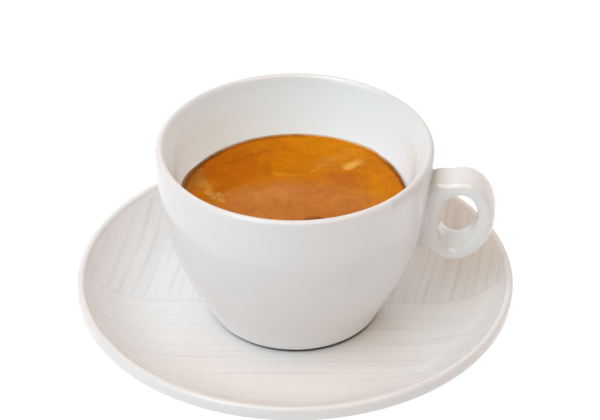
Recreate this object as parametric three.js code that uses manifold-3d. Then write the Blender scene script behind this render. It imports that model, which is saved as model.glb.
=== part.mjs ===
// An americano in its thick porcelain cup, standing on a saucer with a raised edge.
// Millimetres, +Z up. The origin is on the table, in the middle of the saucer's foot,
// and the cup's ring handle points towards +X, turned a little towards -Y.

import * as THREE from 'three';
import { mergeVertices } from 'three/addons/utils/BufferGeometryUtils.js';
import Module from 'manifold-3d';

const wasm = await Module();
wasm.setup();

// Driving dimensions of the saucer
const saucerRadius = 72.8;
const saucerTop = 19.5;
const saucerLipRadius = 1.35;
const saucerEdgeHeight = 2.2;
const wellTop = 6.8;
const wellRadius = 46.0;
const wellCurveRadius = 31.0;
const saucerFootOuter = 46.5;
const saucerFootInner = 42.5;
const saucerFootHeight = 2.2;
const saucerFootTaper = 0.6;
const undersideLow = { radius: 58.0, height: 3.4 };
const undersideHigh = { radius: 66.0, height: 10.2 };

// Driving dimensions of the cup
const rimTop = 70.0;
const rimRadius = 45.0;
const rimThickness = 3.04;
const cupFootGap = 0.3;
const cupFootRadius = 24.6;
const cupFootWidth = 3.0;
const cupFootTaper = 0.8;
const cupRecess = 1.2;
const cupBaseHeight = 7.2;
const cupBaseRadius = 29.3;
const cupBaseRounding = 3.0;
const cupBaseTurn = 26.0;
const shoulderLow = { radius: 35.3, height: 23.1 };
const shoulderHigh = { radius: 44.3, height: 31.8 };
const floorHeight = 13.0;
const bowlLow = { radius: 39.0, height: 13.0 };
const bowlHigh = { radius: 34.7, height: 49.0 };

// Driving dimensions of the ring handle, in its own upright plane through the cup's axis
const handleTurn = THREE.MathUtils.degToRad(-8.0);
const handleTilt = THREE.MathUtils.degToRad(10.6);
const handleReach = 53.5;
const handleHeight = 47.8;
const ringHalfWidth = 11.9;
const ringHalfHeight = 15.55;
const holeHalfWidth = 5.95;
const holeHalfHeight = 9.95;
const holeShiftReach = 0.3;
const holeShiftHeight = -0.05;
const bandWidth = 12.5;
const bandSquareness = 3.0;
const webTopReach = 44.0;
const webTopHeight = 60.2;
const webTopBulge = 1.3;
const bulgeFactor = 6.75;
const webFootReach = 40.4;
const webFootHeight = 37.6;
const filletRadius = 1.9;
const filletLift = 0.25;

// Driving dimensions of the drink
const cremaTop = 50.0;
const cremaThickness = 2.6;
const drinkGap = 0.3;

// Facets
const turnSteps = 64;
const ringSteps = 36;
const bandSteps = 14;
const bulgeSteps = 4;
const lipSteps = 6;
const outsideSteps = 12;
const insideSteps = 11;
const wellSteps = 8;
const coffeeSteps = 7;
const cremaSteps = 2;

// The lip runs into the well's curve a little inside its end, so that no facet is doubled there
const wellJoinShare = 0.97;
const lipJoinShare = 0.75;
const edgeStartDegrees = -75;

// Points closer than this are one, and a height on a curve is found in this many halvings
const mergeDistance = 1e-4;
const halvings = 40;

const glazedPorcelain = { color: 0xf1efed, roughness: 0.12, metalness: 0.0 };
const brewedCoffee = { color: 0x24120a, roughness: 0.05, metalness: 0.0 };
const cremaFoam = { color: 0xb97a3a, roughness: 0.45, metalness: 0.0 };

function arc(x, y, radius, startDegrees, endDegrees, steps) {
  const start = THREE.MathUtils.degToRad(startDegrees);
  const end = THREE.MathUtils.degToRad(endDegrees);
  const curve = new THREE.EllipseCurve(x, y, radius, radius, start, end, end < start);
  return curve.getPoints(steps);
}

function cubic(start, controlA, controlB, end) {
  const corners = [start, controlA, controlB, end].map((p) => new THREE.Vector2(p.radius, p.height));
  return new THREE.CubicBezierCurve(...corners);
}

function point(radius, height) {
  return new THREE.Vector2(radius, height);
}

// The radius of an upright curve at a height, where the curve climbs or falls all the way
function radiusAt(curve, height) {
  let low = 0;
  let high = 1;
  const climbs = curve.getPoint(1).y > curve.getPoint(0).y;
  for (let i = 0; i < halvings; i += 1) {
    const middle = (low + high) / 2;
    const below = curve.getPoint(middle).y < height;
    if (below === climbs) {
      low = middle;
    } else {
      high = middle;
    }
  }
  return curve.getPoint((low + high) / 2).x;
}

// Turns a section of (radius, height) points about the Z axis
function turned(points) {
  const geometry = new THREE.LatheGeometry(points, turnSteps);
  geometry.rotateX(Math.PI / 2);
  return geometry;
}

function toSolid(geometry) {
  const bare = geometry.clone();
  bare.deleteAttribute('normal');
  bare.deleteAttribute('uv');
  const merged = mergeVertices(bare, mergeDistance);
  const mesh = new wasm.Mesh({
    numProp: 3,
    vertProperties: new Float32Array(merged.attributes.position.array),
    triVerts: new Uint32Array(merged.index.array),
  });
  return new wasm.Manifold(mesh);
}

function toGeometry(solid) {
  const mesh = solid.getMesh();
  const geometry = new THREE.BufferGeometry();
  geometry.setAttribute('position', new THREE.BufferAttribute(mesh.vertProperties, 3));
  geometry.setIndex(new THREE.BufferAttribute(mesh.triVerts, 1));
  geometry.computeVertexNormals();
  return geometry;
}

function named(name, geometry, look) {
  const mesh = new THREE.Mesh(geometry, new THREE.MeshStandardMaterial(look));
  mesh.name = name;
  return mesh;
}

// The saucer is a flat well that curves up to a thick rounded lip
function buildSaucer() {
  const lipCentre = saucerRadius - saucerLipRadius;
  const lipHeight = saucerTop - saucerLipRadius;
  const climb = Math.asin((lipCentre - saucerLipRadius * lipJoinShare - wellRadius) / wellCurveRadius);
  const climbDegrees = THREE.MathUtils.radToDeg(climb);
  const edgeFoot = lipHeight - saucerEdgeHeight;
  const underside = cubic(
    { radius: saucerFootOuter + saucerFootTaper, height: saucerFootHeight },
    undersideLow,
    undersideHigh,
    { radius: lipCentre - saucerLipRadius, height: edgeFoot - saucerLipRadius },
  );
  const wellCentreHeight = wellTop + wellCurveRadius;
  const wellStart = -90 + climbDegrees * wellJoinShare;
  const points = [
    point(0, saucerFootHeight),
    point(saucerFootInner - saucerFootTaper, saucerFootHeight),
    point(saucerFootInner, 0),
    point(saucerFootOuter, 0),
    ...underside.getPoints(wellSteps),
    ...arc(lipCentre, edgeFoot, saucerLipRadius, edgeStartDegrees, 0, lipSteps / 2),
    ...arc(lipCentre, lipHeight, saucerLipRadius, 0, 90 + climbDegrees, lipSteps),
    ...arc(wellRadius, wellCentreHeight, wellCurveRadius, wellStart, -90, wellSteps),
    point(0, wellTop),
  ];
  return named('saucer', turned(points), glazedPorcelain);
}

const baseTurnRadians = THREE.MathUtils.degToRad(cupBaseTurn);

const cupOutside = cubic(
  {
    radius: cupBaseRadius - cupBaseRounding * (1 - Math.cos(baseTurnRadians)),
    height: cupBaseHeight + cupBaseRounding * (1 - Math.sin(baseTurnRadians)),
  },
  shoulderLow,
  shoulderHigh,
  { radius: rimRadius, height: rimTop - rimThickness / 2 },
);

const cupInside = cubic(
  { radius: rimRadius - rimThickness, height: rimTop - rimThickness / 2 },
  bowlHigh,
  bowlLow,
  { radius: 0, height: floorHeight },
);

function cupBodySection() {
  const footBottom = wellTop + cupFootGap;
  const footInner = cupFootRadius - cupFootWidth;
  const lip = rimThickness / 2;
  const base = point(cupBaseRadius - cupBaseRounding, cupBaseHeight + cupBaseRounding);
  return [
    point(0, footBottom + cupRecess),
    point(footInner - cupFootTaper, footBottom + cupRecess),
    point(footInner, footBottom),
    point(cupFootRadius, footBottom),
    point(cupFootRadius + cupFootTaper / 2, cupBaseHeight),
    ...arc(base.x, base.y, cupBaseRounding, -90, -cupBaseTurn, lipSteps / 2).slice(0, -1),
    ...cupOutside.getPoints(outsideSteps),
    ...arc(rimRadius - lip, rimTop - lip, lip, 0, 180, lipSteps).slice(1),
    ...cupInside.getPoints(insideSteps).slice(1),
  ];
}

// Where a straight line from a point outside the ring grazes the ring's outer oval
function grazePoint(from, side) {
  const middle = new THREE.Vector2(0, 0);
  const own = from.clone().rotateAround(middle, handleTilt);
  const turn = Math.atan2(own.y / ringHalfHeight, own.x / ringHalfWidth);
  const spread = Math.acos(1 / Math.hypot(own.x / ringHalfWidth, own.y / ringHalfHeight));
  const x = ringHalfWidth * Math.cos(turn + side * spread);
  const y = ringHalfHeight * Math.sin(turn + side * spread);
  return new THREE.Vector2(x, y).rotateAround(middle, -handleTilt);
}

// The web's upper edge from the ring to the wall, swelling most at a third of the way from the wall
function webTopEdge(from) {
  const touch = grazePoint(from, -1);
  const stretch = touch.clone().sub(from);
  const upwards = new THREE.Vector2(-stretch.y, stretch.x).normalize();
  const edge = [];
  for (let i = bulgeSteps; i >= 0; i -= 1) {
    const share = i / bulgeSteps;
    const bulge = webTopBulge * bulgeFactor * share * (1 - share) ** 2;
    edge.push(from.clone().addScaledVector(stretch, share).addScaledVector(upwards, bulge));
  }
  return edge;
}

// The web that fills the corners between the ring and the wall, seen from the middle of the ring
const webTop = new THREE.Vector2(webTopReach - handleReach, webTopHeight - handleHeight);
const webFoot = new THREE.Vector2(webFootReach - handleReach, webFootHeight - handleHeight);
const webCorners = [...webTopEdge(webTop), webFoot, grazePoint(webFoot, 1)];

function webRadius(angle) {
  const ray = new THREE.Vector2(Math.cos(angle), Math.sin(angle));
  let farthest = 0;
  for (let i = 0; i < webCorners.length - 1; i += 1) {
    const start = webCorners[i];
    const stretch = webCorners[i + 1].clone().sub(start);
    if (start.cross(ray) >= 0 && ray.cross(webCorners[i + 1]) >= 0) {
      farthest = Math.max(farthest, start.cross(stretch) / ray.cross(stretch));
    }
  }
  return farthest;
}

// The handle's outline round the middle of the ring: its hole, and the ring with the web to the wall
function handleRadii(angle) {
  const tilted = angle + handleTilt;
  const hole = 1 / Math.hypot(Math.cos(tilted) / holeHalfWidth, Math.sin(tilted) / holeHalfHeight);
  const shift = holeShiftReach * Math.cos(angle) + holeShiftHeight * Math.sin(angle);
  const ring = 1 / Math.hypot(Math.cos(tilted) / ringHalfWidth, Math.sin(tilted) / ringHalfHeight);
  return { inner: hole + shift, outer: Math.max(ring, webRadius(angle)) };
}

// How far the handle's skin swells out at a distance from the wall, so that it runs into the glaze
function filletSwell(distance) {
  const left = Math.min(Math.max(filletRadius - distance, 0), filletRadius);
  return filletRadius - Math.sqrt(filletRadius ** 2 - left ** 2);
}

// One point of the handle, at an angle round the ring and a phase round the band's section
function handlePoint(angle, phase) {
  const { inner, outer } = handleRadii(angle);
  const power = 2 / bandSquareness;
  const along = Math.sign(Math.cos(phase)) * Math.abs(Math.cos(phase)) ** power;
  const across = Math.sign(Math.sin(phase)) * Math.abs(Math.sin(phase)) ** power;
  const radius = (inner + outer) / 2 + ((outer - inner) / 2) * along;
  const reach = handleReach + radius * Math.cos(angle);
  const height = handleHeight + radius * Math.sin(angle);
  const side = (bandWidth / 2) * across;
  const swell = filletSwell(Math.hypot(reach, side) - radiusAt(cupOutside, height));
  const lift = filletLift * swell * Math.max(along, 0) * Math.sin(angle);
  return new THREE.Vector3(reach, side + swell * across, height + lift);
}

function buildHandle() {
  const positions = [];
  const indices = [];
  for (let i = 0; i < ringSteps; i += 1) {
    const angle = (i / ringSteps) * Math.PI * 2;
    for (let j = 0; j < bandSteps; j += 1) {
      const phase = (j / bandSteps) * Math.PI * 2;
      positions.push(...handlePoint(angle, phase).toArray());
      const nextI = (i + 1) % ringSteps;
      const nextJ = (j + 1) % bandSteps;
      const a = i * bandSteps + j;
      const b = nextI * bandSteps + j;
      const c = nextI * bandSteps + nextJ;
      const d = i * bandSteps + nextJ;
      indices.push(a, c, b, a, d, c);
    }
  }
  const geometry = new THREE.BufferGeometry();
  geometry.setAttribute('position', new THREE.Float32BufferAttribute(positions, 3));
  geometry.setIndex(indices);
  geometry.rotateZ(handleTurn);
  return geometry;
}

// The cup and its handle are one piece of porcelain
function buildCup() {
  const bodySolid = toSolid(turned(cupBodySection()));
  const handleSolid = toSolid(buildHandle());
  return named('cup', toGeometry(bodySolid.add(handleSolid)), glazedPorcelain);
}

// A layer of the drink between two heights, drawn in by the gap from the wall and the floor
function drinkLayer(bottom, top, steps) {
  const points = [point(0, bottom)];
  for (let i = 0; i <= steps; i += 1) {
    const height = bottom + ((top - bottom) * i) / steps;
    points.push(point(radiusAt(cupInside, height - drinkGap) - drinkGap, height));
  }
  points.push(point(0, top));
  return turned(points);
}

const cremaBottom = cremaTop - cremaThickness;

function buildCoffee() {
  const coffeeBottom = floorHeight + 2 * drinkGap;
  return named('coffee', drinkLayer(coffeeBottom, cremaBottom - drinkGap, coffeeSteps), brewedCoffee);
}

function buildCrema() {
  return named('crema', drinkLayer(cremaBottom, cremaTop, cremaSteps), cremaFoam);
}

const americano = new THREE.Group();
americano.add(buildSaucer(), buildCup(), buildCoffee(), buildCrema());

export default americano;
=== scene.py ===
# An americano in a heavy porcelain cup, on a saucer that is ribbed in two directions.
# The scene is in metres with +Z up. The dictionaries hold millimetres and degrees.

import math
import random

import bmesh
import bpy
import numpy as np
from mathutils import Matrix, Vector


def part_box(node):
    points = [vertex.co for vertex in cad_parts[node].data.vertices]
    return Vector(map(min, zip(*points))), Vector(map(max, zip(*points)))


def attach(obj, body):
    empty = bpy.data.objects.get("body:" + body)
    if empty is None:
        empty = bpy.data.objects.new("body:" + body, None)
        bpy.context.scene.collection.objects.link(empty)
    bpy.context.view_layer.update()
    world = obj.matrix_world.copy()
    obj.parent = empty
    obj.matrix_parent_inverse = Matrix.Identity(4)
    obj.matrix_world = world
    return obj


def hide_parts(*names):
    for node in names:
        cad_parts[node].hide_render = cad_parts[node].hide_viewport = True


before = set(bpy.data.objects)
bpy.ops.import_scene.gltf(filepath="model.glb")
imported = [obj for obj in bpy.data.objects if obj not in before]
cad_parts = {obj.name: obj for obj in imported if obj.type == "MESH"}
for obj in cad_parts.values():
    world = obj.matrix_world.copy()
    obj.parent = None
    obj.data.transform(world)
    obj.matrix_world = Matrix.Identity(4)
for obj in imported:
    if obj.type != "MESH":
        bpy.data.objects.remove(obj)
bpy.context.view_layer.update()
mm = 0.001
print("frame loaded:", ", ".join(sorted(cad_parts)))


def linearColour(hexColour):
    # sRGB hex to the linear colour that a socket takes
    channels = [int(hexColour[i:i + 2], 16) / 255 for i in (1, 3, 5)]
    return [c / 12.92 if c <= 0.04045 else ((c + 0.055) / 1.055) ** 2.4 for c in channels] + [1.0]


def textureScale(size):
    # the scale that gives a texture features of so many millimetres
    return 1 / (size * mm)


def addNode(tree, kind, settings=None, inputs=None):
    node = tree.nodes.new(kind)
    for name, value in (settings or {}).items():
        setattr(node, name, value)
    for name, value in (inputs or {}).items():
        if isinstance(value, bpy.types.NodeSocket):
            tree.links.new(value, node.inputs[name])
        else:
            node.inputs[name].default_value = value
    return node


def newMaterial(name):
    material = bpy.data.materials.new(name)
    material.use_nodes = True
    material.node_tree.nodes.clear()
    return material


def smoothStep(value, low, high):
    share = np.clip((value - low) / (high - low), 0, 1)
    return share * share * (3 - 2 * share)


def arcPoints(centre, radius, start, end, count):
    turn = np.radians(np.linspace(start, end, count))
    return np.stack([centre[0] + radius * np.cos(turn), centre[1] + radius * np.sin(turn)], 1)


def bezierPoints(corners, count):
    t = np.linspace(0, 1, count)[:, None]
    a, b, c, d = np.array(corners, float)
    return a * (1 - t) ** 3 + 3 * b * t * (1 - t) ** 2 + 3 * c * t ** 2 * (1 - t) + d * t ** 3


def meshObject(name, points, faces, material):
    # points in millimetres
    mesh = bpy.data.meshes.new(name)
    mesh.from_pydata((np.asarray(points) * mm).tolist(), [], faces)
    mesh.update()
    piece = bpy.data.objects.new(name, mesh)
    bpy.context.scene.collection.objects.link(piece)
    piece.data.materials.append(material)
    mesh.shade_smooth()
    return piece


def turnedPoints(section, steps):
    # a section of (radius, height) that starts and ends on the axis, turned about it
    turn = np.arange(steps) * 2 * np.pi / steps
    rings = section[1:-1]
    x = rings[:, :1] * np.cos(turn)
    y = rings[:, :1] * np.sin(turn)
    z = np.repeat(rings[:, 1:], steps, 1)
    ringPoints = np.stack([x, y, z], 2).reshape(-1, 3)
    poles = [[0, 0, section[0, 1]], [0, 0, section[-1, 1]]]
    return np.concatenate([ringPoints, poles])


def turnedFaces(section, steps):
    ringCount = len(section) - 2
    bottomPole = ringCount * steps
    faces = []
    for j in range(steps):
        k = (j + 1) % steps
        faces.append((bottomPole, k, j))
        for i in range(ringCount - 1):
            faces.append((i * steps + j, i * steps + k, (i + 1) * steps + k, (i + 1) * steps + j))
        last = (ringCount - 1) * steps
        faces.append((bottomPole + 1, last + j, last + k))
    return faces


# Hard porcelain, pressed in a steel mould, dipped in clear glaze and fired glossy.
# A cool white body with a thin glassy skin; the glaze lies thicker in the grooves and is painted greyer
# there, which is also painted shade in the grooves and in the corner at the handle.
porcelainLook = {
    "body": "#F4F1EE",
    "pooledAndShaded": "#E4E3E2",       # where the glaze is thick, and painted shade in the grooves and at the handle's joint
    "bisque": "#E9E2D6",       # the wiped ring that the saucer stands on
    "shadedFoot": "#5A5048",     # the cup's unglazed underside, painted dark as the shade under the cup
    "contactShade": "#544D46",       # painted contact shadow: the saucer's glaze darkened in a ring around the cup's foot
    "roughness": 0.1,
    "bisqueRoughness": 0.6,
    "glazeWaveSize": 14.0,     # the slow ripple of a dipped glaze
    "glazeWaveDepth": 0.02,
    "cloudSize": 30.0,         # faint change of tone across the body
    "cloudDim": 0.985,
}


def glazedPorcelain(name, bareTo, bareAndShadeColour):
    # bareTo is the height in millimetres up to which the glaze was wiped off; below it the given colour is
    # used, which on the cup is painted shade
    look = porcelainLook
    material = newMaterial(name)
    tree = material.node_tree
    place = addNode(tree, "ShaderNodeTexCoord").outputs["Object"]
    cloud = addNode(tree, "ShaderNodeTexNoise", inputs={
        "Vector": place, "Scale": textureScale(look["cloudSize"]), "Detail": 2.0})
    # painted shade: greyer where the attribute marks the grooves and the handle's joint
    groove = addNode(tree, "ShaderNodeAttribute", {"attribute_name": "glazePoolAndShade"})
    pooledAndShaded = addNode(tree, "ShaderNodeMath", {"operation": "MULTIPLY", "use_clamp": True}, {
        0: groove.outputs["Fac"], 1: 1.0})
    body = addNode(tree, "ShaderNodeMix", {"data_type": "RGBA"}, {
        0: pooledAndShaded.outputs[0], 6: linearColour(look["body"]), 7: linearColour(look["pooledAndShaded"])})
    shade = addNode(tree, "ShaderNodeMapRange", inputs={
        "Value": cloud.outputs["Fac"], "From Min": 0.35, "From Max": 0.65,
        "To Min": look["cloudDim"], "To Max": 1.0})
    clouded = addNode(tree, "ShaderNodeMix", {"data_type": "RGBA", "blend_type": "MULTIPLY"}, {
        0: 1.0, 6: body.outputs[2], 7: shade.outputs[0]})
    height = addNode(tree, "ShaderNodeSeparateXYZ", inputs={0: place})
    bare = addNode(tree, "ShaderNodeMath", {"operation": "LESS_THAN"}, {
        0: height.outputs["Z"], 1: bareTo * mm})
    # painted contact shadow: a darker ring on the saucer around the cup's foot
    contactShade = addNode(tree, "ShaderNodeAttribute", {"attribute_name": "paintedContactShade"})
    contactShaded = addNode(tree, "ShaderNodeMix", {"data_type": "RGBA"}, {
        0: contactShade.outputs["Fac"], 6: clouded.outputs[2], 7: linearColour(look["contactShade"])})
    colour = addNode(tree, "ShaderNodeMix", {"data_type": "RGBA"}, {
        0: bare.outputs[0], 6: contactShaded.outputs[2], 7: linearColour(bareAndShadeColour)})
    gloss = addNode(tree, "ShaderNodeMapRange", inputs={
        "Value": bare.outputs[0], "To Min": look["roughness"], "To Max": look["bisqueRoughness"]})
    wave = addNode(tree, "ShaderNodeTexNoise", inputs={
        "Vector": place, "Scale": textureScale(look["glazeWaveSize"]), "Detail": 1.0})
    ripple = addNode(tree, "ShaderNodeBump", inputs={
        "Strength": 1.0, "Distance": look["glazeWaveDepth"] * mm, "Height": wave.outputs["Fac"]})
    shader = addNode(tree, "ShaderNodeBsdfPrincipled", inputs={
        "Base Color": colour.outputs[2], "Roughness": gloss.outputs[0], "IOR": 1.5,
        "Normal": ripple.outputs[0]})
    addNode(tree, "ShaderNodeOutputMaterial", inputs={"Surface": shader.outputs[0]})
    return material


# Saucer: a flat well that curves up to a rolled lip
saucerSize = {
    "lip": 1.35,
    "lipStart": 0.75,          # share of the lip at which the well runs into it
    "lipUnderTurn": -75,
    "edgeHeight": 2.2,
    "wellTop": 6.8,
    "wellRadius": 46.0,
    "wellCurve": 31.0,
    "wellEnd": 0.985,          # share of the climb, so that the lip takes over smoothly
    "footOuter": 46.5,
    "footInner": 42.5,
    "footHeight": 2.2,
    "footRounding": 0.6,
    "footSlope": 1.2,
    "footFlare": 0.6,
    "bareTo": 0.35,            # the glaze is wiped off the ring it stands on
    "undersideLow": (58.0, 3.4),
    "undersideHigh": (66.0, 10.2),
    "ribbedFrom": 26.0,        # the cup covers what is further in
    "ringsUnderCup": (20.0, 13.0, 6.0, 0.0),
    "ribsStart": (25.5, 29.0),
    "ribsEnd": (68.4, 70.2),
    # a ring of painted shade on the saucer around the cup's foot, standing in for the contact shadow under
    # the cup
    "contactShadeRadius": 27.5,
    "contactShadeEdge": 0.5,
    "contactShadeMiddle": (0.5, -0.1),   # set off the middle, so that the painted shade is wider at the right and in front
    "steps": 800,
    "ribStep": 0.53,
}

# The ribs: fine lines straight across in front, broad leaning ones behind
ribSize = {
    "frontPitch": 3.2,
    "frontJitter": 0.3,        # share of the pitch
    "frontDepth": 0.07,
    "frontWidth": 0.8,
    "frontFrom": -4.2,
    "frontTo": -74,
    "frontSway": 0.35,
    "frontSways": (0.3, 1.0),
    "frontSwayLength": 21,
    "frontFadeLengths": (9, 20),
    "backPitch": 4.0,
    "backJitter": 0.16,
    "backDepth": 0.12,
    "backWidth": 0.75,
    "backWidths": (0.7, 1.2),
    "backSpread": 190,
    "backSway": 0.25,
    "backSwayLength": 9,
    "backFadeLength": 7,
    "backLean": 13.5,
    "backLeanLost": 0.07,      # degrees for each millimetre to the left
    "leanLostFrom": 25,
    "strengths": (0.45, 1.0),  # no two lines are pressed equally deep
    "halfLine": 0.35,          # the weaker line between two
    "halfLineAt": (0.4, 0.6),
    "halfLineStrengths": (0.3, 1.7),
    "rightGain": 1.45,         # the lines right of the cup are cut deeper
    "rightFrom": (15, 35),
    "bandFrom": (26, 34),      # right of the cup a smooth band runs along the border
    "bandEdge": (-8.4, -7.4),
    "borderAt": -0.8,
    "borderSlope": -0.018,
    "borderDepth": 0.07,
    "borderWidth": 0.5,
    "borderFade": 0.8,
    "seed": 7,
}


def saucerSection(radius, top):
    size = saucerSize
    lip = size["lip"]
    lipCentre = radius - lip
    lipHeight = top - lip
    edgeFoot = lipHeight - size["edgeHeight"]
    wellReach = lipCentre - lip * size["lipStart"] - size["wellRadius"]
    climb = math.degrees(math.asin(wellReach / size["wellCurve"]))
    rounding = size["footRounding"]
    curveSteps = round(math.radians(climb) * size["wellCurve"] / size["ribStep"])
    flatSteps = round((size["wellRadius"] - size["ribbedFrom"]) / size["ribStep"])
    flat = np.linspace(size["wellRadius"], size["ribbedFrom"], flatSteps)[1:]
    underCup = size["ringsUnderCup"]
    foot = size["footHeight"]
    wellCentre = (size["wellRadius"], size["wellTop"] + size["wellCurve"])
    return np.concatenate([
        [(0, foot), (underCup[0], foot), (size["footInner"] - size["footSlope"], foot)],
        arcPoints((size["footInner"] + rounding, rounding), rounding, 180, 270, 3),
        arcPoints((size["footOuter"] - rounding, rounding), rounding, 270, 360, 3),
        bezierPoints([
            (size["footOuter"] + size["footFlare"], foot), size["undersideLow"], size["undersideHigh"],
            (lipCentre - lip, edgeFoot - lip)], 10),
        arcPoints((lipCentre, edgeFoot), lip, size["lipUnderTurn"], 0, 5),
        arcPoints((lipCentre, lipHeight), lip, 0, 90 + climb, 11),
        arcPoints(wellCentre, size["wellCurve"], -90 + climb * size["wellEnd"], -90, curveSteps),
        [(r, size["wellTop"]) for r in [*flat, *underCup]],
    ])


def ribDepth(x, y):
    # how far the glaze surface lies below the smooth dish, in millimetres
    size = ribSize
    draw = random.Random(size["seed"])
    border = size["borderAt"] + size["borderSlope"] * x
    front = np.zeros_like(x)
    line = size["frontFrom"]
    while line > size["frontTo"]:
        strength = size["frontDepth"] * draw.uniform(*size["strengths"])
        phase = draw.uniform(0, 2 * math.pi)
        sway = size["frontSway"] * draw.uniform(*size["frontSways"])
        middle = line + sway * np.sin(x / size["frontSwayLength"] + phase)
        along = 0.7 + 0.3 * np.sin(x / draw.uniform(*size["frontFadeLengths"]) + phase)
        front += strength * along * np.exp(-((y - middle) / size["frontWidth"]) ** 2)
        line -= size["frontPitch"] * draw.uniform(1 - size["frontJitter"], 1 + size["frontJitter"])
    back = np.zeros_like(x)
    count = round(size["backSpread"] / size["backPitch"])
    for i in range(-count // 2, count // 2 + 1):
        jitter = draw.uniform(-size["backJitter"], size["backJitter"])
        start = (i + jitter) * size["backPitch"]
        farLeft = max(-start - size["leanLostFrom"], 0)
        lean = math.tan(math.radians(size["backLean"] - size["backLeanLost"] * farLeft))
        middle = start + y * lean
        middle = middle + size["backSway"] * np.sin(y / size["backSwayLength"] + i)
        width = size["backWidth"] * draw.uniform(*size["backWidths"])
        along = 0.75 + 0.25 * np.sin(y / size["backFadeLength"] + 2.4 * i)
        strength = size["backDepth"] * draw.uniform(*size["strengths"]) * along
        back += strength * np.exp(-((x - middle) / width) ** 2)
        between = middle + size["backPitch"] * draw.uniform(*size["halfLineAt"])
        halfStrength = strength * size["halfLine"] * draw.uniform(*size["halfLineStrengths"])
        back += halfStrength * np.exp(-((x - between) / width) ** 2)
    front *= 1 - smoothStep(x, *size["bandFrom"]) * smoothStep(y, *size["bandEdge"])
    behind = smoothStep(y - border, 0.0, size["borderFade"])
    groove = size["borderDepth"] * np.exp(-((y - border) / size["borderWidth"]) ** 2)
    deeper = 1 + (size["rightGain"] - 1) * smoothStep(x, *size["rightFrom"])
    return (front * (1 - behind) + back * behind) * deeper + groove


def makeSaucer():
    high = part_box("saucer")[1]
    section = saucerSection(high.x / mm, high.z / mm)
    steps = saucerSize["steps"]
    points = turnedPoints(section, steps)
    radius = np.hypot(points[:, 0], points[:, 1])
    upper = np.zeros(len(points), bool)
    firstUpper = int(np.argmax(section[:, 1])) - 1
    upper[firstUpper * steps:-2] = True
    started = smoothStep(radius, *saucerSize["ribsStart"])
    ended = smoothStep(radius, *saucerSize["ribsEnd"])
    faded = started * (1 - ended) * upper
    depth = ribDepth(points[:, 0], points[:, 1]) * faded
    points[:, 2] -= depth
    material = glazedPorcelain("glazedPorcelainPressed", saucerSize["bareTo"], porcelainLook["bisque"])
    piece = meshObject("saucerDish", points, turnedFaces(section, steps), material)
    # the grooves are painted greyer: pooled glaze and painted shade in them
    groove = piece.data.attributes.new("glazePoolAndShade", "FLOAT", "POINT")
    groove.data.foreach_set("value", (depth / ribSize["backDepth"]).astype(np.float32))
    # a ring of painted shade around the cup's foot, set off the middle, standing in for the contact shadow
    fromCup = np.hypot(*(points[:, :2] - saucerSize["contactShadeMiddle"]).T)
    contactShadeTo = saucerSize["contactShadeRadius"]
    contactShadeSoftness = saucerSize["contactShadeEdge"]
    contactShadeMask = (1 - smoothStep(fromCup, contactShadeTo - contactShadeSoftness, contactShadeTo + contactShadeSoftness)) * upper
    contactShade = piece.data.attributes.new("paintedContactShade", "FLOAT", "POINT")
    contactShade.data.foreach_set("value", contactShadeMask.astype(np.float32))
    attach(piece, "root")
    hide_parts("saucer")
    return piece


saucerDish = makeSaucer()
print("saucer dish:", len(saucerDish.data.polygons), "faces")


# Cup: a deep bowl with an even wall, on a recessed foot ring
cupSize = {
    "wall": 3.04,
    "footRadius": 24.6,
    "footWidth": 3.0,
    "footSlope": 0.8,
    "footRoundings": (0.5, 0.3),   # inner and outer
    "baseHeight": 7.2,
    "baseRadius": 29.3,
    "baseRounding": 3.0,
    "baseTurn": 26.0,          # where the rounded bottom edge runs into the wall
    "recess": 1.2,
    "bareRise": 0.3,           # the unglazed underside, painted dark as shade, reaches this far up the bottom edge
    "rimEasing": 6.0,          # the inside turns out to the lip over this height
    "rimPull": 0.55,           # share of it that the wall keeps its slope
    "rimShoulder": 0.1,
    "shoulderLow": (35.3, 23.1),
    "shoulderHigh": (44.3, 31.8),
    "floor": 13.0,
    "bowlLow": (39.0, 13.0),
    "bowlHigh": (34.7, 49.0),
    "steps": 288,
}

# Handle: an oval ring with a web that ties it to the wall
handleSize = {
    "turn": -8.0,
    "tilt": 10.6,
    "reach": 53.5,
    "height": 47.8,
    "ringHalfWidth": 11.9,
    "ringHalfHeight": 15.55,
    "holeHalfWidth": 5.95,
    "holeHalfHeight": 9.95,
    "holeShift": (0.3, -0.05),
    "width": 12.5,
    "squareness": 3.0,
    "webTop": (44.0, 60.2),
    "webTopBulge": 1.3,
    "bulgeGain": 6.75,         # share * (1 - share) ** 2 peaks at 1 / 6.75
    "webFoot": (40.4, 37.6),
    "fillet": 2.4,
    "filletLift": 0.2,         # share of the fillet above and below the web
    "pooledAndShaded": 0.9,             # painted shade in the corner at the wall, with glaze gathered there
    "jointShadeReach": 2.2,
    "jointFrom": 30,           # the joint lies further out along x than this
    "onWall": 0.03,            # a face nearer than this is part of the wall
    "wallPasses": 16,
    "ringSteps": 360,
    "bandSteps": 150,
}

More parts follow.
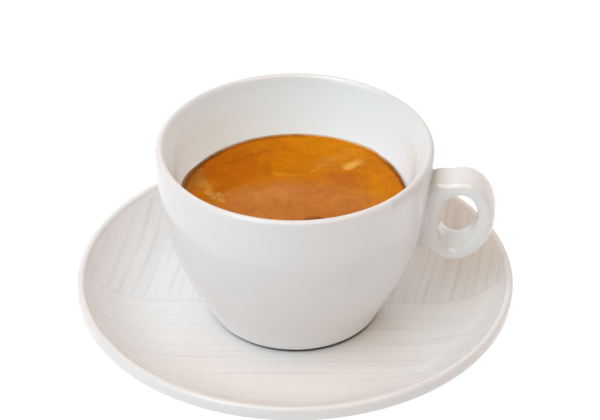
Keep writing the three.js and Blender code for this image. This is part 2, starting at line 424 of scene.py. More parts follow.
cupLow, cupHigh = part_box("cup")
rimRadius = -cupLow.x / mm
rimTop = cupHigh.z / mm
rimCentre = rimTop - cupSize["wall"] / 2
baseCentre = (
    cupSize["baseRadius"] - cupSize["baseRounding"],
    cupSize["baseHeight"] + cupSize["baseRounding"])
baseArc = arcPoints(baseCentre, cupSize["baseRounding"], -90, -cupSize["baseTurn"], 9)
cupOutside = bezierPoints([
    baseArc[-1], cupSize["shoulderLow"], cupSize["shoulderHigh"], (rimRadius, rimCentre)], 70)
cupInside = bezierPoints([
    (rimRadius - cupSize["wall"], rimCentre), cupSize["bowlHigh"], cupSize["bowlLow"],
    (0, cupSize["floor"])], 60)
rimTurn = next(i for i, p in enumerate(cupInside) if p[1] < rimTop - cupSize["rimEasing"])
rimStep = cupInside[rimTurn] - cupInside[rimTurn - 1]
rimSlope = rimStep / np.hypot(*rimStep)
rimInside = bezierPoints([
    (rimRadius - cupSize["wall"] / 2, rimTop),
    (rimRadius - cupSize["wall"] + cupSize["rimShoulder"], rimTop),
    cupInside[rimTurn] - rimSlope * cupSize["rimEasing"] * cupSize["rimPull"],
    cupInside[rimTurn]], 22)


def cupSection():
    size = cupSize
    bottom = cupLow.z / mm
    lip = size["wall"] / 2
    footInner = size["footRadius"] - size["footWidth"]
    innerRound, outerRound = size["footRoundings"]
    return np.concatenate([
        [(0, bottom + size["recess"]), (footInner - size["footSlope"], bottom + size["recess"])],
        arcPoints((footInner + innerRound, bottom + innerRound), innerRound, 180, 270, 3),
        arcPoints((size["footRadius"] - outerRound, bottom + outerRound), outerRound, 270, 360, 3),
        baseArc[:-1],
        cupOutside,
        arcPoints((rimRadius - lip, rimTop - lip), lip, 0, 90, 13)[1:-1],
        rimInside,
        cupInside[rimTurn + 1:],
    ])


def grazePoint(point, side):
    # where a line from a point (seen from the ring's middle) grazes the ring's outer oval
    size = handleSize
    wide, tall = size["ringHalfWidth"], size["ringHalfHeight"]
    tilt = math.radians(size["tilt"])
    turned = complex(*point) * complex(math.cos(tilt), math.sin(tilt))
    x, y = turned.real / wide, turned.imag / tall
    turn = math.atan2(y, x) + side * math.acos(1 / math.hypot(x, y))
    touch = complex(wide * math.cos(turn), tall * math.sin(turn))
    touch *= complex(math.cos(tilt), -math.sin(tilt))
    return touch.real, touch.imag


def webTopEdge(top):
    # the web's upper edge from the ring to the wall, swelling most near the wall
    touch = np.array(grazePoint(top, -1))
    stretch = touch - np.array(top)
    upwards = np.array([-stretch[1], stretch[0]]) / np.hypot(*stretch)
    edge = []
    for share in np.linspace(1, 0, 25):
        bulge = handleSize["webTopBulge"] * handleSize["bulgeGain"] * share * (1 - share) ** 2
        edge.append(tuple(np.array(top) + stretch * share + upwards * bulge))
    return edge


def webRadius(angle):
    # distance from the ring's middle to the web's sides
    size = handleSize
    top = (size["webTop"][0] - size["reach"], size["webTop"][1] - size["height"])
    foot = (size["webFoot"][0] - size["reach"], size["webFoot"][1] - size["height"])
    corners = [*webTopEdge(top), foot, grazePoint(foot, 1)]
    rayX, rayY = np.cos(angle), np.sin(angle)
    farthest = np.zeros_like(angle)
    for (ax, ay), (bx, by) in zip(corners, corners[1:]):
        inside = (ax * rayY - ay * rayX >= 0) & (rayX * by - rayY * bx >= 0)
        cut = (ax * (by - ay) - ay * (bx - ax)) / (rayX * (by - ay) - rayY * (bx - ax))
        farthest = np.where(inside, np.maximum(farthest, cut), farthest)
    return farthest


def handlePoints():
    size = handleSize
    angle, phase = np.meshgrid(
        np.arange(size["ringSteps"]) * 2 * np.pi / size["ringSteps"],
        np.arange(size["bandSteps"]) * 2 * np.pi / size["bandSteps"], indexing="ij")
    tilted = angle + math.radians(size["tilt"])
    inner = 1 / np.hypot(np.cos(tilted) / size["holeHalfWidth"], np.sin(tilted) / size["holeHalfHeight"])
    inner += size["holeShift"][0] * np.cos(angle) + size["holeShift"][1] * np.sin(angle)
    ring = 1 / np.hypot(np.cos(tilted) / size["ringHalfWidth"], np.sin(tilted) / size["ringHalfHeight"])
    outer = np.maximum(ring, webRadius(angle))
    power = 2 / size["squareness"]
    along = np.sign(np.cos(phase)) * np.abs(np.cos(phase)) ** power
    across = np.sign(np.sin(phase)) * np.abs(np.sin(phase)) ** power
    radius = (inner + outer) / 2 + (outer - inner) / 2 * along
    reach = size["reach"] + radius * np.cos(angle)
    height = size["height"] + radius * np.sin(angle)
    side = size["width"] / 2 * across
    fillet = size["fillet"]
    upwards = size["filletLift"] * np.maximum(along, 0) * np.sin(angle)
    swell = np.zeros_like(side)
    for i in range(size["wallPasses"]):
        # the swollen band is measured against the round wall again, until it lies on it
        wall = np.interp(height + swell * upwards, cupOutside[:, 1], cupOutside[:, 0])
        left = np.clip(fillet - (np.hypot(reach, side + swell * across) - wall), 0, fillet)
        swell = (swell + fillet - np.sqrt(fillet ** 2 - left ** 2)) / 2
    side = side + swell * across
    height = height + swell * upwards
    turn = math.radians(size["turn"])
    x = reach * math.cos(turn) - side * math.sin(turn)
    y = reach * math.sin(turn) + side * math.cos(turn)
    return np.stack([x, y, height], 2).reshape(-1, 3)


def handleFaces():
    rings, bands = handleSize["ringSteps"], handleSize["bandSteps"]
    faces = []
    for i in range(rings):
        for j in range(bands):
            k, m = (i + 1) % rings, (j + 1) % bands
            faces.append((i * bands + j, i * bands + m, k * bands + m, k * bands + j))
    return faces


def finishJoint(mesh):
    # the wall and the ring shade on their own up to the joint, and the corner is painted darker: painted
    # shade for the crease, with glaze pooled there
    size = handleSize
    shape = bmesh.new()
    shape.from_mesh(mesh)
    jointPoints = []

    def offWall(point):
        wall = np.interp(point.co.z / mm, cupOutside[:, 1], cupOutside[:, 0])
        return abs(math.hypot(point.co.x, point.co.y) / mm - wall)

    def onWall(face):
        return max(offWall(point) for point in face.verts) < size["onWall"]

    for edge in shape.edges:
        if len(edge.link_faces) == 2 and edge.verts[0].co.x > size["jointFrom"] * mm:
            edge.smooth = onWall(edge.link_faces[0]) == onWall(edge.link_faces[1])
            if not edge.smooth:
                jointPoints.append(edge.verts[0].co / mm)
    shape.to_mesh(mesh)
    shape.free()
    points = np.empty(len(mesh.vertices) * 3)
    mesh.vertices.foreach_get("co", points)
    points = points.reshape(-1, 3) / mm
    # painted shade that fades out with the distance from the joint
    pooledAndShaded = np.zeros(len(points))
    near = np.nonzero(points[:, 0] > size["jointFrom"])[0]
    joint = np.array(jointPoints)
    for i in near:
        away = math.sqrt(((joint - points[i]) ** 2).sum(1).min())
        pooledAndShaded[i] = size["pooledAndShaded"] * math.exp(-(away / size["jointShadeReach"]) ** 2)
    attribute = mesh.attributes.new("glazePoolAndShade", "FLOAT", "POINT")
    attribute.data.foreach_set("value", pooledAndShaded.astype(np.float32))


def makeCup():
    # the ring is stuck on with slip before firing, so cup and handle are one body
    # the underside is rough and bare, and painted dark: painted shade standing in for the dark gap under the
    # cup
    bareTo = cupSize["baseHeight"] + cupSize["bareRise"]
    material = glazedPorcelain("glazedPorcelainJiggered", bareTo, porcelainLook["shadedFoot"])
    section = cupSection()
    steps = cupSize["steps"]
    piece = meshObject("cupShell", turnedPoints(section, steps), turnedFaces(section, steps), material)
    ring = meshObject("handleRing", handlePoints(), handleFaces(), material)
    union = piece.modifiers.new("joinHandle", "BOOLEAN")
    union.operation = "UNION"
    union.solver = "EXACT"
    union.object = ring
    shapes = bpy.context.evaluated_depsgraph_get()
    joined = bpy.data.meshes.new_from_object(piece.evaluated_get(shapes))
    piece.modifiers.clear()
    piece.data = joined
    bpy.data.objects.remove(ring)
    joined.shade_smooth()
    finishJoint(joined)
    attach(piece, "root")
    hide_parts("cup")
    return piece


cupShell = makeCup()
print("cup with its handle:", len(cupShell.data.polygons), "faces")


# Brewed coffee: a clear brown-black liquid that lets no light through at this depth
coffeeLook = {
    "colour": "#1A0A04",
    "edgeColour": "#3B1706",   # thinner at the edge, so redder
    "driftSize": 12.0,
    "roughness": 0.05,
}


def brewedCoffee():
    look = coffeeLook
    material = newMaterial("brewedCoffeeStill")
    tree = material.node_tree
    place = addNode(tree, "ShaderNodeTexCoord").outputs["Object"]
    drift = addNode(tree, "ShaderNodeTexNoise", inputs={
        "Vector": place, "Scale": textureScale(look["driftSize"]), "Detail": 2.0})
    colour = addNode(tree, "ShaderNodeMix", {"data_type": "RGBA"}, {
        0: drift.outputs["Fac"], 6: linearColour(look["colour"]), 7: linearColour(look["edgeColour"])})
    shader = addNode(tree, "ShaderNodeBsdfPrincipled", inputs={
        "Base Color": colour.outputs[2], "Roughness": look["roughness"], "IOR": 1.34})
    addNode(tree, "ShaderNodeOutputMaterial", inputs={"Surface": shader.outputs[0]})
    return material


# Crema: the fine foam of a pressed brew, golden and oily at the back, paler and drier in the middle.
# Matte, with a damp sheen; the patches are where the stream fell and turned.
cremaLook = {
    "base": "#CA7402",
    "roughness": 0.5,
    "specular": 0.03,
    "swirlSize": 9.0,
    "swirlReach": 2.2,         # how far the swirl bends the patches
    "curlSize": 3.2,
    "curlReach": 0.7,
    "strandSize": 4.2,         # strands of lighter and darker foam drawn out along the swirl
    "strandBend": 2.6,
    "strandBendSize": 7.14,    # the noise that bends them
    "strandGain": (0.91, 1.09),
    "mottleSize": 5.0,
    "mottleGain": (0.9, 1.08),
    "speckSize": 0.6,          # real foam cells are a tenth of this; drawn coarse so that they show
    "speckGain": (0.93, 1.06),
    "pitSize": 2.6,            # spacing of the few burst bubbles
    "pitEdge": (0.05, 0.12),   # share of the spacing
    "pitStrength": 0.6,
    "reliefSize": 0.96,
    "reliefDepth": 0.05,
    "noiseGain": 4,            # a noise strays about a quarter from its middle
    "pit": "#6E3208",
    "coffee": "#7A3E0E",       # the drink showing through where the foam is thin
    "wetEdgeHighlight": "#EDD0AA",     # painted highlight along the wet edge on the wall
}

# name, place, half lengths, turn in degrees, softness, colour and strength of each patch of foam
cremaPatches = [
    ("brownBack", (-21, 18), (13, 11), 35, 0.5, "#BC6202", 0.75),
    ("yellowBack", (14, 29), (15, 6), -22, 0.5, "#D88402", 0.8),
    ("yellowTongue", (-3, 20), (7, 10), -30, 0.35, "#D07C02", 0.7),
    ("tongueShade", (-9.5, 16), (1.6, 6), -8, 0.6, "#AC5A04", 0.5),
    ("tongueEdge", (-3, 12.5), (7, 1.3), -6, 0.5, "#D08A18", 0.5),
    ("tongueCore", (-3, 15), (4.5, 1.2), -4, 0.7, "#B86404", 0.4),
    ("paleArea", (13, 20), (9, 5), 28, 0.6, "#D08624", 0.55),
    ("rightOrange", (29, 12), (7, 16), -10, 0.5, "#D07A1A", 0.6),
    ("rightYellow", (25, 3), (6, 9), 12, 0.5, "#CF8008", 0.7),
    ("tanMiddle", (1, -6), (27, 14), 0, 0.35, "#C27835", 0.95),
    ("tanLight", (-8, 1), (9, 4), 12, 0.6, "#CB8544", 0.6),
    ("rustMiddle", (16, 10), (7, 4), -20, 0.6, "#B4622A", 0.5),
    ("leftYellow", (-29.3, 6.3), (1.7, 6.5), 18, 0.5, "#D6963A", 0.75),
    ("leftCurl", (-26, 0.6), (4.2, 1.5), -32, 0.5, "#D79A48", 0.7),
    ("leftOrange", (-23, 7), (3.2, 5), -8, 0.5, "#B46402", 0.8),
    ("leftTan", (-34, 9), (4, 9), -10, 0.5, "#B0722A", 0.8),
    ("paleBlob", (19.5, 18.5), (2.7, 2.0), 18, 0.6, "#EFB656", 0.8),
    ("paleStreak", (10, 19.5), (6.5, 0.6), 42, 0.6, "#D8953A", 0.5),
    ("paleStreakHigh", (13, 24), (7.5, 0.5), 30, 0.6, "#D8953A", 0.35),
    ("darkArc", (-16, 24), (9, 0.7), 28, 0.6, "#9A4E04", 0.4),
    # a dark reddish patch along the foam's front edge, under the rim
    ("darkFrontEdge", (6.5, -13.4), (5.5, 1.0), 2, 0.5, "#5A2410", 0.9),
    ("rightFront", (10, -20), (18, 10), 10, 0.5, "#AE622A", 0.6),
    ("leftFront", (-16, -26), (12, 8), -15, 0.5, "#C4761C", 0.6),
]

# azimuth in degrees from +X and strength of the two lines along the wall
wallLines = {
    "coffee": [(-180, 0.7), (-90, 0.5), (0, 0.9), (30, 0.9), (42, 0.4), (58, 0.0), (80, 0.1), (88, 0.6),
               (96, 0.4), (112, 0.7), (123, 0.5), (140, 1.0), (158, 0.8), (180, 0.7)],
    "wetEdgeHighlight": [(-180, 0.2), (0, 0.3), (30, 0.5), (45, 0.8), (60, 1.0), (76, 0.9), (88, 0.55), (125, 0.6),
                 (150, 0.3), (180, 0.2)],
}

# millimetres in from the wall: where each line begins when widest and when narrowest, and where it is full
wallLineReach = {"coffee": (3.0, 1.9, 0.9), "wetEdgeHighlight": (1.25, 0.75, 0.1)}
wallLineRagSize = 2.4


def cremaFoam(wallRadius):
    look = cremaLook
    material = newMaterial("cremaFoamBrewed")
    tree = material.node_tree
    place = addNode(tree, "ShaderNodeTexCoord").outputs["Object"]
    flat = addNode(tree, "ShaderNodeVectorMath", {"operation": "MULTIPLY"}, {
        0: place, 1: (1, 1, 0)}).outputs[0]
    bent = flat
    for size, reach in ((look["swirlSize"], look["swirlReach"]), (look["curlSize"], look["curlReach"])):
        swirl = addNode(tree, "ShaderNodeTexNoise", inputs={
            "Vector": flat, "Scale": textureScale(size), "Detail": 2.0})
        centred = addNode(tree, "ShaderNodeVectorMath", {"operation": "SUBTRACT"}, {
            0: swirl.outputs["Color"], 1: (0.5, 0.5, 0.5)})
        push = addNode(tree, "ShaderNodeVectorMath", {"operation": "MULTIPLY"}, {
            0: centred.outputs[0], 1: (reach * mm * look["noiseGain"], reach * mm * look["noiseGain"], 0)})
        bent = addNode(tree, "ShaderNodeVectorMath", {"operation": "ADD"}, {
            0: bent, 1: push.outputs[0]}).outputs[0]
    colour = addNode(tree, "ShaderNodeRGB").outputs[0]
    colour.default_value = linearColour(look["base"])
    for name, spot, halves, turn, softness, tint, strength in cremaPatches:
        local = addNode(tree, "ShaderNodeMapping", {"vector_type": "TEXTURE", "label": name}, {
            "Vector": bent,
            "Location": (spot[0] * mm, spot[1] * mm, 0),
            "Rotation": (0, 0, math.radians(turn)),
            "Scale": (halves[0] * mm, halves[1] * mm, 1)})
        away = addNode(tree, "ShaderNodeVectorMath", {"operation": "LENGTH"}, {0: local.outputs[0]})
        mask = addNode(tree, "ShaderNodeMapRange", {"interpolation_type": "SMOOTHSTEP"}, {
            "Value": away.outputs["Value"], "From Min": 1 - softness, "From Max": 1 + softness,
            "To Min": strength, "To Max": 0.0})
        colour = addNode(tree, "ShaderNodeMix", {"data_type": "RGBA"}, {
            0: mask.outputs[0], 6: colour, 7: linearColour(tint)}).outputs[2]
    # strands: a noise read through its own bend, so that it draws out into threads
    bend = addNode(tree, "ShaderNodeTexNoise", inputs={
        "Vector": bent, "Scale": textureScale(look["strandBendSize"]), "Detail": 3.0})
    bendPush = addNode(tree, "ShaderNodeVectorMath", {"operation": "SCALE"}, {
        0: bend.outputs["Color"], "Scale": look["strandBend"] * look["noiseGain"] * mm})
    drawn = addNode(tree, "ShaderNodeVectorMath", {"operation": "ADD"}, {0: bent, 1: bendPush.outputs[0]})
    strand = addNode(tree, "ShaderNodeTexNoise", inputs={
        "Vector": drawn.outputs[0], "Scale": textureScale(look["strandSize"]), "Detail": 5.0,
        "Roughness": 0.62, "Distortion": 1.2})
    strandGain = addNode(tree, "ShaderNodeMapRange", inputs={
        "Value": strand.outputs["Fac"], "From Min": 0.32, "From Max": 0.68,
        "To Min": look["strandGain"][0], "To Max": look["strandGain"][1]})
    colour = addNode(tree, "ShaderNodeMix", {"data_type": "RGBA", "blend_type": "MULTIPLY"}, {
        0: 1.0, 6: colour, 7: strandGain.outputs[0]}).outputs[2]
    # mottling and speckle brighten and darken the foam a little
    for kind, detail in (("mottle", 4.0), ("speck", 2.0)):
        low, high = look[kind + "Gain"]
        grain = addNode(tree, "ShaderNodeTexNoise", inputs={
            "Vector": bent, "Scale": textureScale(look[kind + "Size"]), "Detail": detail})
        gain = addNode(tree, "ShaderNodeMapRange", inputs={
            "Value": grain.outputs["Fac"], "From Min": 0.3, "From Max": 0.7, "To Min": low, "To Max": high})
        colour = addNode(tree, "ShaderNodeMix", {"data_type": "RGBA", "blend_type": "MULTIPLY"}, {
            0: 1.0, 6: colour, 7: gain.outputs[0]}).outputs[2]
    # dark pits where a bubble burst
    cells = addNode(tree, "ShaderNodeTexVoronoi", {"feature": "F1"}, {
        "Vector": flat, "Scale": textureScale(look["pitSize"]), "Randomness": 1.0})
    pit = addNode(tree, "ShaderNodeMapRange", {"interpolation_type": "SMOOTHSTEP"}, {
        "Value": cells.outputs["Distance"], "From Min": look["pitEdge"][0], "From Max": look["pitEdge"][1],
        "To Min": look["pitStrength"], "To Max": 0.0})
    colour = addNode(tree, "ShaderNodeMix", {"data_type": "RGBA"}, {
        0: pit.outputs[0], 6: colour, 7: linearColour(look["pit"])}).outputs[2]
    # at the wall the coffee shows through as a dark line, and a pale line is a painted highlight along the
    # wet edge; both come and go round the cup, so their strengths are listed by direction
    fromMiddle = addNode(tree, "ShaderNodeVectorMath", {"operation": "LENGTH"}, {0: flat})
    split = addNode(tree, "ShaderNodeSeparateXYZ", inputs={0: flat})
    turn = addNode(tree, "ShaderNodeMath", {"operation": "ARCTAN2"}, {
        0: split.outputs["Y"], 1: split.outputs["X"]})
    around = addNode(tree, "ShaderNodeMapRange", inputs={
        "Value": turn.outputs[0], "From Min": -math.pi, "From Max": math.pi})
    for kind, (inner, outer, end) in wallLineReach.items():
        strength = addNode(tree, "ShaderNodeValToRGB", inputs={0: around.outputs[0]})
        ramp = strength.color_ramp
        stops = wallLines[kind]
        while len(ramp.elements) < len(stops):
            ramp.elements.new(0.5)
        for element, (azimuth, much) in zip(ramp.elements, stops):
            element.position = (azimuth + 180) / 360
            element.color = (much, much, much, 1)
        uneven = addNode(tree, "ShaderNodeTexNoise", inputs={
            "Vector": flat, "Scale": textureScale(wallLineRagSize), "Detail": 2.0})
        ragged = addNode(tree, "ShaderNodeMapRange", inputs={
            "Value": uneven.outputs["Fac"], "From Min": 0.3, "From Max": 0.7,
            "To Min": (wallRadius - inner) * mm, "To Max": (wallRadius - outer) * mm})
        reach = addNode(tree, "ShaderNodeMapRange", {"interpolation_type": "SMOOTHSTEP"}, {
            "Value": fromMiddle.outputs["Value"], "From Min": ragged.outputs[0],
            "From Max": (wallRadius - end) * mm})
        line = addNode(tree, "ShaderNodeMath", {"operation": "MULTIPLY"}, {
            0: reach.outputs[0], 1: strength.outputs[0]})
        colour = addNode(tree, "ShaderNodeMix", {"data_type": "RGBA"}, {
            0: line.outputs[0], 6: colour, 7: linearColour(look[kind])}).outputs[2]
    relief = addNode(tree, "ShaderNodeTexNoise", inputs={
        "Vector": bent, "Scale": textureScale(look["reliefSize"]), "Detail": 3.0})
    bump = addNode(tree, "ShaderNodeBump", inputs={
        "Strength": 1.0, "Distance": look["reliefDepth"] * mm, "Height": relief.outputs["Fac"]})
    shader = addNode(tree, "ShaderNodeBsdfPrincipled", inputs={
        "Base Color": colour, "Roughness": look["roughness"], "Specular IOR Level": look["specular"],
        "IOR": 1.4, "Normal": bump.outputs[0]})
    addNode(tree, "ShaderNodeOutputMaterial", inputs={"Surface": shader.outputs[0]})
    return material


# The drink fills the bowl up to the wall; a thin rim of it creeps up the glaze
drinkSize = {
    "steps": 240,
    "sideSteps": 30,
    "ringStep": 0.8,
    "ringPacking": 0.8,        # below 1 the rings lie closer at the wall
    "creepHeight": 0.35,
    "creepReach": 0.35,
    "below": 0.37,             # the foam's level below the top of its wet edge
    "intoWall": 0.05,
    "apart": 0.02,             # keeps the foam's underside off the coffee, and the coffee off the floor
    "heave": 0.12,             # slow waves of the foam
    "waveSizes": (6.1, 9.0, 7.3, 4.3),
    "waveHeights": (0.6, 0.2),
    "wavePhase": 1.3,
    "calmReach": 4,
    "edgeReach": 3.5,
}

# azimuth in degrees from +X and height of the foam's edge on the wall, against the level
foamEdge = [(-40, 0.0), (0, -0.9), (12, -1.3), (20, -1.1), (25, -0.7), (31, -0.35), (38, -0.25),
            (46, 0.35), (52, 0.2), (62, 0.05), (75, -0.1), (90, -0.15), (104, -0.25), (118, -0.25),
            (130, -0.5), (146, -0.4), (154, 0.0), (160, 0.5), (168, 0.9), (180, 0.7), (215, 0.0)]


def wallAt(height):
    return np.interp(-np.asarray(height, float), -cupInside[:, 1], cupInside[:, 0])


def makeCoffee():
    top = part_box("crema")[0].z / mm
    bottom = cupSize["floor"] + drinkSize["apart"]
    heights = bottom + (top - bottom) * (1 - np.cos(np.linspace(0, np.pi / 2, drinkSize["sideSteps"])))
    side = [(float(wallAt(h)) + drinkSize["intoWall"], h) for h in heights[1:]]
    section = np.array([(0, bottom), *side, (0, top)])
    points, faces = turnedPoints(section, drinkSize["steps"]), turnedFaces(section, drinkSize["steps"])
    piece = meshObject("coffeeLiquid", points, faces, brewedCoffee())
    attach(piece, "root")
    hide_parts("coffee")
    return piece


def makeCrema():
    size = drinkSize
    low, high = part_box("crema")
    bottom = low.z / mm + size["apart"]
    top = high.z / mm - size["below"]
    wall = float(wallAt(top)) + size["intoWall"]
    count = round(wall / size["ringStep"])
    radii = wall * np.linspace(1, 0, count) ** size["ringPacking"]
    creep = size["creepHeight"] * np.exp(-(wall - radii) / size["creepReach"])
    surface = np.stack([radii, top + creep], 1)
    wallLow = float(wallAt(bottom)) + size["intoWall"]
    section = np.concatenate([[(0, bottom), (wallLow, bottom)], surface[:-1], [(0, top)]])
    points = turnedPoints(section, size["steps"])
    heaved = points[:, 2] > top - 0.01
    x, y = points[:, 0], points[:, 1]
    long, bend, cross, short = size["waveSizes"]
    longHeight, shortHeight = size["waveHeights"]
    waves = np.sin(x / long + np.sin(y / bend)) * np.sin(y / cross + size["wavePhase"]) * longHeight
    waves = waves + np.sin((x + y) / short) * shortHeight
    calm = 1 - smoothStep(np.hypot(x, y), wall - size["calmReach"], wall)
    points[:, 2] += np.where(heaved, waves * size["heave"] * calm, 0)
    azimuth = (np.degrees(np.arctan2(y, x)) + 90) % 360 - 90
    lift = np.interp(azimuth, *np.array(foamEdge).T) * np.exp(-(wall - np.hypot(x, y)) / size["edgeReach"])
    lift = np.where(heaved, lift, 0)
    outward = 1 + (wallAt(top + lift) - wallAt(np.full_like(lift, top))) / wall
    points[:, :2] *= outward[:, None]
    points[:, 2] += lift
    piece = meshObject("cremaFoam", points, turnedFaces(section, size["steps"]), cremaFoam(wall))
    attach(piece, "root")
    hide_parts("crema")
    return piece


# Bubbles: a few larger ones that rose at the left and stand as wet domes on the foam
bubbleSize = {
    "middle": (-25.6, 0.3),
    "spread": (3.0, 1.7),
    "count": 46,
    "small": 0.2,
    "large": 0.48,
    "sunk": 0.35,              # share of the radius below the foam
    "filmSize": 0.9,
    "seed": 5,
    "colour": "#DCA24E",
    "roughness": 0.4,
}


def makeBubbles():
    size = bubbleSize
    draw = random.Random(size["seed"])
    material = newMaterial("cremaBubbleSkin")
    tree = material.node_tree
    place = addNode(tree, "ShaderNodeTexCoord").outputs["Object"]
    film = addNode(tree, "ShaderNodeTexNoise", inputs={
        "Vector": place, "Scale": textureScale(size["filmSize"])})
    colour = addNode(tree, "ShaderNodeMix", {"data_type": "RGBA"}, {
        0: film.outputs["Fac"], 6: linearColour(cremaLook["base"]), 7: linearColour(size["colour"])})
    shader = addNode(tree, "ShaderNodeBsdfPrincipled", inputs={
        "Base Color": colour.outputs[2], "Roughness": size["roughness"], "IOR": 1.34})
    addNode(tree, "ShaderNodeOutputMaterial", inputs={"Surface": shader.outputs[0]})
    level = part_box("crema")[1].z / mm - drinkSize["below"]
    cluster = bmesh.new()
    for i in range(size["count"]):
        radius = size["small"] + (size["large"] - size["small"]) * draw.random() ** 2
        x = size["middle"][0] + draw.gauss(0, 0.5) * size["spread"][0]
        y = size["middle"][1] + draw.gauss(0, 0.5) * size["spread"][1]
        middle = Vector((x, y, level + radius * (1 - 2 * size["sunk"]) / 2)) * mm
        spot = Matrix.Translation(middle)
        bmesh.ops.create_icosphere(cluster, subdivisions=2, radius=radius * mm, matrix=spot)
    mesh = bpy.data.meshes.new("cremaBubbles")
    cluster.to_mesh(mesh)
    cluster.free()
    piece = bpy.data.objects.new("cremaBubbles", mesh)
    bpy.context.scene.collection.objects.link(piece)
    mesh.materials.append(material)
    mesh.shade_smooth()
    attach(piece, "root")


makeBubbles()
coffeeLiquid = makeCoffee()
cremaFoamPiece = makeCrema()
print("coffee and crema:", len(coffeeLiquid.data.polygons) + len(cremaFoamPiece.data.polygons), "faces")


# Paper sweep: matte white paper that the set stands on
sweepSize = {
    "width": 6000,
    "grain": 1.2,
    "paper": "#FBFBFB",
    "fibre": "#FFFFFF",
    "groundBelow": 0.5,
    "groundGlow": 1.08,
    "groundColour": "#FFFFFF",
}


def makeSweep():
    material = newMaterial("paperSweepMatte")
    tree = material.node_tree
    place = addNode(tree, "ShaderNodeTexCoord").outputs["Object"]
    fibre = addNode(tree, "ShaderNodeTexNoise", inputs={
        "Vector": place, "Scale": textureScale(sweepSize["grain"]), "Detail": 3.0})
    colour = addNode(tree, "ShaderNodeMix", {"data_type": "RGBA"}, {
        0: fibre.outputs["Fac"], 6: linearColour(sweepSize["paper"]), 7: linearColour(sweepSize["fibre"])})
    shader = addNode(tree, "ShaderNodeBsdfPrincipled", inputs={
        "Base Color": colour.outputs[2], "Roughness": 0.9, "Specular IOR Level": 0.1})
    addNode(tree, "ShaderNodeOutputMaterial", inputs={"Surface": shader.outputs[0]})
    half = sweepSize["width"] / 2
    corners = [(-half, -half, 0), (half, -half, 0), (half, half, 0), (-half, half, 0)]
    sweep = meshObject("paperSweep", corners, [(0, 1, 2, 3)], material)
    sweep.visible_camera = False
    sweep.visible_glossy = False
    # the photograph is cut out on plain white, so the camera and the gloss see a white ground
    # without a shadow, and the paper only lights the porcelain from below
    glow = newMaterial("whiteGroundGlowing")
    shine = addNode(glow.node_tree, "ShaderNodeEmission", inputs={
        "Color": linearColour(sweepSize["groundColour"]), "Strength": sweepSize["groundGlow"]})
    addNode(glow.node_tree, "ShaderNodeOutputMaterial", inputs={"Surface": shine.outputs[0]})
    below = [(x, y, -sweepSize["groundBelow"]) for x, y, z in corners]
    ground = meshObject("whiteGround", below, [(0, 1, 2, 3)], glow)
    ground.visible_diffuse = False
    ground.visible_shadow = False


# A light tent: soft lobes of light, each brightest in its own direction seen from the cup.
# Name, azimuth (0 is the camera's side, 90 the handle's), elevation, sharpness and the linear
# strength of red, green and blue
tentLobes = [
    ("windowHigh", 300, 55, 12, (2.91, 3.0, 3.11)),
    ("windowLow", 315, 38, 12, (1.04, 1.65, 2.34)),
    ("ceilingFront", 0, 62, 12, (0.67, 0.51, 0.0)),
    ("ceilingRight", 60, 62, 12, (0.42, 0.03, 0.0)),
    ("wallRight", 90, 38, 6, (0.82, 0.55, 0.11)),
    ("cardRight", 90, 15, 6, (0.0, 0.37, 0.86)),
    ("cardBackRight", 135, 15, 6, (0.65, 0.53, 0.63)),
    ("wallBack", 180, 38, 6, (0.58, 0.9, 1.01)),
    ("wallBackLeft", 225, 38, 6, (0.44, 0.0, 0.0)),
    ("cardBackLeft", 225, 15, 6, (0.59, 0.64, 0.36)),
]

# Lamps that only the gloss of the glaze shows: two small ones overhead for the sparks on the rim
# and the handle, a wide one low behind for the bright edges, and the pale ceiling.
# Name, azimuth, elevation, distance, width and height, watts
glossLamps = [
    ("sparkLeft", -110, 72, 1200, (260, 260), 1.0),
    ("sparkRight", 106, 70, 1200, (140, 140), 0.3),
    ("edgeGlow", 180, 4, 1600, (2400, 450), 1.4),
    ("ceilingGloss", 0, 72, 1200, (1300, 900), 9.0),
]
lampTarget = 40                # height that the lamps are aimed at

# Light that the foam throws back up the wall, without the tint that the picture's white balance took out
foamBounce = {"size": (76.0, 76.0), "above": -0.2, "watts": 0.0122, "colour": "#F6FEFD"}

# The camera's place and turn, measured from the rims of the cup and the saucer in the photograph
cameraSet = {
    "place": (0.0, -594.61, 454.98),
    "down": 34.65,
    "yaw": 0.16,
    "roll": -0.09,
    "lens": 132.0,
    "sensor": 36.0,
    "clipStart": 10,
}


def lampDirection(azimuth, elevation):
    turn, rise = math.radians(azimuth), math.radians(elevation)
    return Vector((math.sin(turn) * math.cos(rise), -math.cos(turn) * math.cos(rise), math.sin(rise)))


def makeTent():
    world = bpy.data.worlds.new("lightTent")
    world.use_nodes = True
    tree = world.node_tree
    tree.nodes.clear()
    direction = addNode(tree, "ShaderNodeTexCoord").outputs["Generated"]
    glow = None
    for name, azimuth, elevation, sharpness, strength in tentLobes:
        facing = addNode(tree, "ShaderNodeVectorMath", {"operation": "DOT_PRODUCT", "label": name}, {
            0: direction, 1: lampDirection(azimuth, elevation)})
        lit = addNode(tree, "ShaderNodeMath", {"operation": "MAXIMUM"}, {0: facing.outputs["Value"], 1: 0.0})
        soft = addNode(tree, "ShaderNodeMath", {"operation": "POWER"}, {0: lit.outputs[0], 1: sharpness})
        tinted = addNode(tree, "ShaderNodeVectorMath", {"operation": "SCALE"}, {
            0: strength, "Scale": soft.outputs[0]})
        if glow is None:
            glow = tinted.outputs[0]
        else:
            glow = addNode(tree, "ShaderNodeVectorMath", {"operation": "ADD"}, {
                0: glow, 1: tinted.outputs[0]}).outputs[0]
    background = addNode(tree, "ShaderNodeBackground", inputs={"Color": glow, "Strength": 1.0})
    addNode(tree, "ShaderNodeOutputWorld", inputs={"Surface": background.outputs[0]})
    bpy.context.scene.world = world


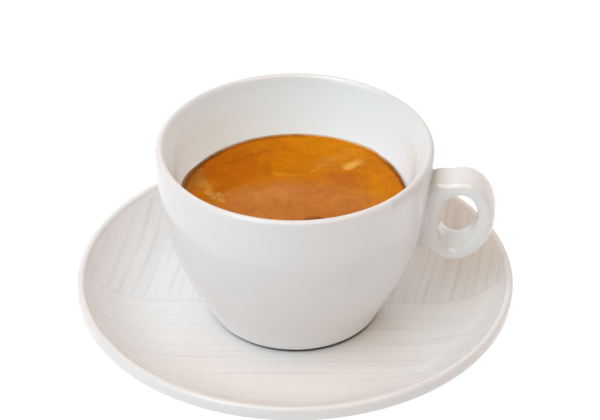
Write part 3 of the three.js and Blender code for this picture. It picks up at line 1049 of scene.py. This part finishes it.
def addLamp(name, shape, size, watts, place, aim):
    data = bpy.data.lights.new(name, "AREA")
    data.shape = shape
    data.size, data.size_y = size[0] * mm, size[1] * mm
    data.energy = watts
    lamp = bpy.data.objects.new(name, data)
    lamp.location = place
    lamp.rotation_euler = aim.to_track_quat("-Z", "Y").to_euler()
    bpy.context.scene.collection.objects.link(lamp)
    return lamp


def makeLamps():
    target = Vector((0, 0, lampTarget * mm))
    for name, azimuth, elevation, distance, size, watts in glossLamps:
        away = lampDirection(azimuth, elevation)
        shining = addLamp(name, "RECTANGLE", size, watts, target + away * distance * mm, -away)
        shining.visible_diffuse = False
    # the foam itself is kept out of diffuse bounces, so that it doesn't dye the wall orange
    cremaFoamPiece.visible_diffuse = False
    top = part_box("crema")[1].z + foamBounce["above"] * mm
    bounce = addLamp("foamBounce", "DISK", foamBounce["size"], foamBounce["watts"],
                     Vector((0, 0, top)), Vector((0, 0, 1)))
    bounce.data.color = linearColour(foamBounce["colour"])[:3]
    bounce.visible_camera = False
    bounce.visible_glossy = False


def makeCamera():
    down, yaw, roll = (math.radians(cameraSet[k]) for k in ("down", "yaw", "roll"))
    right = Vector((math.cos(yaw), -math.sin(yaw), 0))
    ahead = Vector((math.sin(yaw), math.cos(yaw), 0))
    forward = ahead * math.cos(down) - Vector((0, 0, math.sin(down)))
    up = ahead * math.sin(down) + Vector((0, 0, math.cos(down)))
    right, up = right * math.cos(roll) + up * math.sin(roll), up * math.cos(roll) - right * math.sin(roll)
    camera = bpy.data.objects.new("camera", bpy.data.cameras.new("camera"))
    camera.data.lens = cameraSet["lens"]
    camera.data.sensor_width = cameraSet["sensor"]
    place = Vector(cameraSet["place"]) * mm
    camera.matrix_world = Matrix.Translation(place) @ Matrix((right, up, -forward)).transposed().to_4x4()
    camera.data.clip_start = cameraSet["clipStart"] * mm
    bpy.context.scene.collection.objects.link(camera)
    bpy.context.scene.camera = camera


makeSweep()
makeTent()
makeLamps()
makeCamera()
bpy.context.scene.view_settings.view_transform = "Standard"
print("stage, lamps and camera set")
